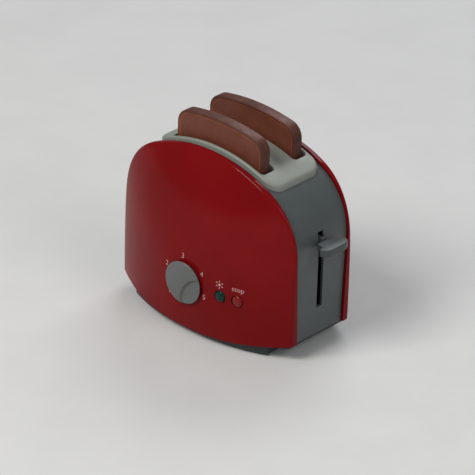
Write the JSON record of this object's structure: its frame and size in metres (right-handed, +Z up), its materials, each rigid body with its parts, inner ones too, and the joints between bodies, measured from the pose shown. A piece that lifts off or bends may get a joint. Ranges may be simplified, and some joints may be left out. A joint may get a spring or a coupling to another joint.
{
  "type": "toy toaster",
  "caption": "Play toaster with domed gloss shells, an arched housing, bread slots with lift-out slices, a push-down lever, a wind-up timer knob and push buttons.",
  "frame": {"origin": "centre of the base plate's flat underside, 1.5 mm above the surface that the feet stand on", "axes": "+X runs along the bread slots towards the lever, +Y points to the back, away from the knob, and +Z is up"},
  "size_m": [0.1897, 0.1179, 0.1684],
  "materials": {
    "shell": "high gloss moulded plastic, deep red",
    "housing": "satin moulded plastic, dark grey",
    "collar": "satin moulded plastic, light grey",
    "base": "fine-textured moulded plastic, near black",
    "knob": "satin moulded plastic, mid grey",
    "lever": "satin moulded plastic, dark grey",
    "toast": "moulded plastic bread, brown face and darker crust",
    "green_gloss": "glossy dark green",
    "red_gloss": "glossy red",
    "inner": "plain moulded plastic inside the housing",
    "steel": "plain steel",
    "brass": "stamped brass",
    "foot": "soft black rubber"
  },
  "bodies": {
    "body": {"front_shell": "shell", "rear_shell": "shell", "housing": "housing", "slot_collar": "collar", "front_chute_wall": "inner", "front_divider_wall": "inner", "rear_divider_wall": "inner", "rear_chute_wall": "inner", "guide_rod": "steel", "carriage_spring": "steel", "base_plate": "base", "foot_1": "foot", "foot_2": "foot", "foot_3": "foot", "foot_4": "foot", "base_screw_1": "steel", "base_screw_2": "steel", "base_screw_3": "steel", "base_screw_4": "steel", "latch_pin": "steel", "button_bracket": "inner", "green_button_spring": "steel", "red_button_spring": "steel", "second_arbor": "steel", "governor_arbor": "steel", "timer_front_plate": "steel", "timer_rear_plate": "steel", "timer_pillar_1": "steel", "timer_pillar_2": "steel", "timer_pillar_3": "steel", "timer_pillar_4": "steel", "mainspring": "steel"},
    "carriage": {"carriage": "inner", "lever_handle": "lever"},
    "front_slice": {"toast_front": "toast"},
    "rear_slice": {"toast_rear": "toast"},
    "dial": {"dial_knob": "knob", "dial_shaft": "steel", "great_wheel": "brass"},
    "second": {"second_wheel": "brass"},
    "governor": {"governor_wheel": "brass"},
    "green_button": {"green_button": "green_gloss"},
    "red_button": {"red_button": "red_gloss"},
    "latch": {"latch_lever": "inner"}
  },
  "joints": [
    {"name": "carriage_slide", "type": "slide", "parent": "body", "child": "carriage", "axis": [0, 0, 1], "range_m": [-0.045, 0], "stiffness_N_per_m": 80, "springref_m": 0.04, "deforming": ["carriage_spring"]},
    {"name": "front_slice_lift", "type": "slide", "parent": "carriage", "child": "front_slice", "axis": [0, 0, 1], "range_m": [0, 0.075]},
    {"name": "rear_slice_lift", "type": "slide", "parent": "carriage", "child": "rear_slice", "axis": [0, 0, 1], "range_m": [0, 0.075]},
    {"name": "dial_turn", "type": "hinge", "parent": "body", "child": "dial", "pos_m": [0, -0.05, 0.0436], "axis": [0, 1, 0], "range_deg": [0, 250]},
    {"name": "second_spin", "type": "hinge", "parent": "body", "child": "second", "pos_m": [-0.01391, -0.04, 0.06346], "axis": [0, 1, 0], "range_deg": [-950, 0]},
    {"name": "governor_spin", "type": "hinge", "parent": "body", "child": "governor", "pos_m": [-0.00025, -0.04, 0.07974], "axis": [0, 1, 0], "range_deg": [0, 3040]},
    {"name": "green_press", "type": "slide", "parent": "body", "child": "green_button", "axis": [0, 1, 0], "range_m": [0, 0.002], "stiffness_N_per_m": 250, "springref_m": -0.002, "deforming": ["green_button_spring"]},
    {"name": "red_press", "type": "slide", "parent": "body", "child": "red_button", "axis": [0, 1, 0], "range_m": [0, 0.002], "stiffness_N_per_m": 250, "springref_m": -0.002, "deforming": ["red_button_spring"]},
    {"name": "latch_swing", "type": "hinge", "parent": "body", "child": "latch", "pos_m": [0.0596, 0.009, 0.009], "axis": [0, 1, 0], "range_deg": [0, 5.5]}
  ],
  "couplings": [
    {"joint": "second_spin", "follows": "dial_turn", "ratio": -3.8},
    {"joint": "governor_spin", "follows": "dial_turn", "ratio": 12.16}
  ]
}
